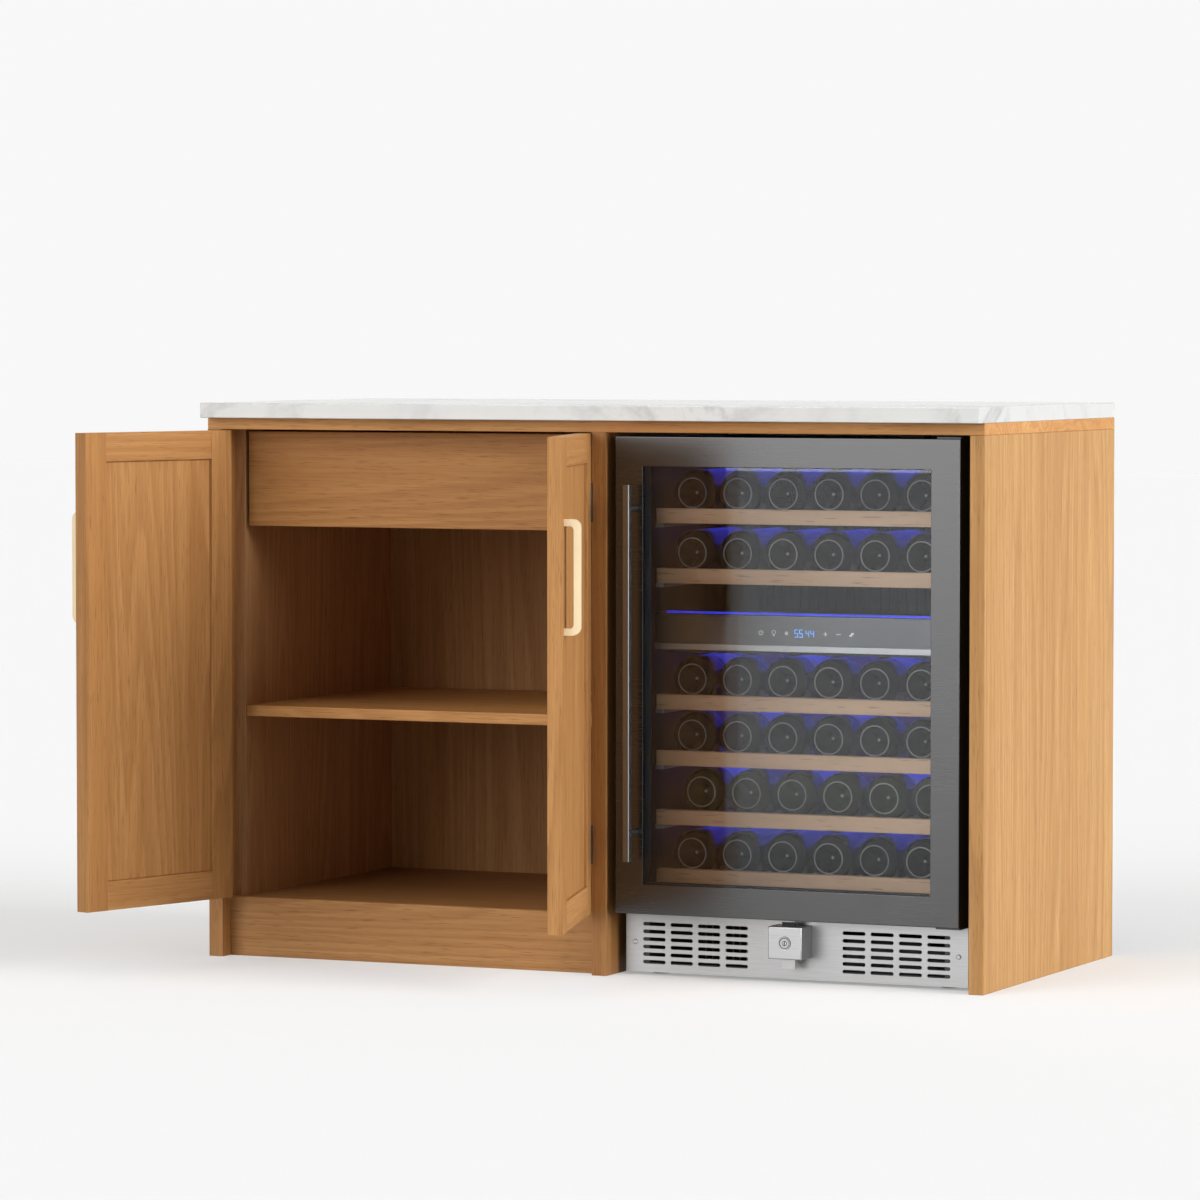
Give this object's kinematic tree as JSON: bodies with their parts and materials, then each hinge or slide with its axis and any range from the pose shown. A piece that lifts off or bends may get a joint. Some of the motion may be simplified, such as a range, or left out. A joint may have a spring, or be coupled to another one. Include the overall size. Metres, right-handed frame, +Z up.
{
  "type": "wine bar cabinet",
  "caption": "Oak bar cabinet with a stone top: framed cupboard doors over an inner drawer and shelf, beside a built-in glass-door wine cooler with bottle racks, lock and vented kick plate.",
  "frame": {"origin": "on the floor, at the centre of the middle panel's foot", "axes": "+X to the cabinet's right as seen from the front, +Y to its back, +Z up"},
  "size_m": [1.46, 0.9428, 0.92],
  "materials": {
    "oak": "satin oiled oak",
    "oak_inside": "satin oak lining",
    "stone": "polished white marble with faint grey veins",
    "pull": "satin champagne finish",
    "hinge": "black butt hinge",
    "zinc": "zinc plated runner",
    "case": "black case filled with foam",
    "door_steel": "dark brushed steel",
    "bright_steel": "brushed stainless steel",
    "lock_steel": "satin steel lock",
    "bolt": "silver-grey moulded bolt",
    "pane": "tinted glass",
    "seal": "soft black seal",
    "beech": "oiled beech",
    "runner": "light grey moulded runner",
    "inner_plastic": "black moulded plastic",
    "display": "gloss black touch panel",
    "light": "blue light strip",
    "machine": "black enamelled shell",
    "coil": "bare fins",
    "fan": "moulded fan",
    "foot": "rubber foot"
  },
  "bodies": {
    "cabinet": {"left_side_panel": "oak", "middle_panel": "oak", "right_side_panel": "oak", "top_board": "oak", "toe_kick": "oak", "cupboard_floor": "oak_inside", "cupboard_back": "oak_inside", "cupboard_linings": "oak_inside", "cupboard_shelf": "oak_inside", "stone_top": "stone", "cupboard_hinge_frame_leaves": "hinge", "drawer_channels": "zinc", "shelf_pins": "zinc", "cooler_walls": "case", "cooler_floor": "case", "cooler_base": "case", "cooler_hinge_brackets": "door_steel", "kick_plate": "bright_steel", "kick_plate_screws": "bright_steel", "lock_housing": "lock_steel", "zone_divider": "inner_plastic", "duct_covers": "inner_plastic", "mains_inlet": "inner_plastic", "control_display": "display", "light_strips": "light", "wine_rack_1": "beech", "wine_rack_2": "beech", "wine_rack_3": "beech", "wine_rack_4": "beech", "wine_rack_5": "beech", "wine_rack_6": "beech", "rack_runners": "runner", "compressor": "machine", "condenser": "coil", "evaporator": "coil", "cooler_feet": "foot"},
    "left_door": {"left_door_stiles": "oak", "left_door_rails": "oak", "left_door_panel": "oak", "left_door_pull": "pull", "left_door_hinge_leaves": "hinge"},
    "right_door": {"right_door_stiles": "oak", "right_door_rails": "oak", "right_door_panel": "oak", "right_door_pull": "pull", "right_door_hinge_leaves": "hinge"},
    "drawer": {"drawer_front": "oak", "drawer_sides": "oak_inside", "drawer_back": "oak_inside", "drawer_bottom": "oak_inside", "drawer_slides": "zinc"},
    "cooler_door": {"cooler_door_frame": "door_steel", "cooler_door_handle": "door_steel", "cooler_door_panes": "pane", "cooler_door_gasket": "seal", "cooler_door_inner_frame": "inner_plastic"},
    "lock_cylinder": {"lock_cylinder": "lock_steel"},
    "lock_bolt": {"lock_bolt": "bolt"},
    "condenser_fan": {"condenser_fan": "fan"},
    "evaporator_fan": {"evaporator_fan": "fan"}
  },
  "joints": [
    {"name": "left_door_swing", "type": "hinge", "parent": "cabinet", "child": "left_door", "pos_m": [-0.6845, -0.308, 0.4875], "axis": [0, 0, -1], "range_deg": [-106.7, 63.3]},
    {"name": "right_door_swing", "type": "hinge", "parent": "cabinet", "child": "right_door", "pos_m": [-0.0135, -0.308, 0.4875], "axis": [0, 0, 1], "range_deg": [-106.7, 15]},
    {"name": "drawer_slide", "type": "slide", "parent": "cabinet", "child": "drawer", "axis": [0, -1, 0], "range_m": [0, 0.4]},
    {"name": "cooler_door_swing", "type": "hinge", "parent": "cabinet", "child": "cooler_door", "pos_m": [0.608, -0.29, 0.4865], "axis": [0, 0, 1], "range_deg": [0, 105]},
    {"name": "lock_turn", "type": "hinge", "parent": "cabinet", "child": "lock_cylinder", "pos_m": [0.3235, -0.3, 0.067], "axis": [0, -1, 0], "range_deg": [0, 90]},
    {"name": "bolt_lift", "type": "slide", "parent": "cabinet", "child": "lock_bolt", "axis": [0, 0, 1], "range_m": [0, 0.0098]},
    {"name": "condenser_fan_spin", "type": "hinge", "parent": "cabinet", "child": "condenser_fan", "pos_m": [0.349, -0.164, 0.06], "axis": [0, 1, 0], "continuous": true},
    {"name": "evaporator_fan_spin", "type": "hinge", "parent": "cabinet", "child": "evaporator_fan", "pos_m": [0.3235, 0.188, 0.44], "axis": [0, 1, 0], "continuous": true}
  ],
  "couplings": [
    {"joint": "bolt_lift", "follows": "lock_turn", "m_per_rad": 0.0057295}
  ]
}
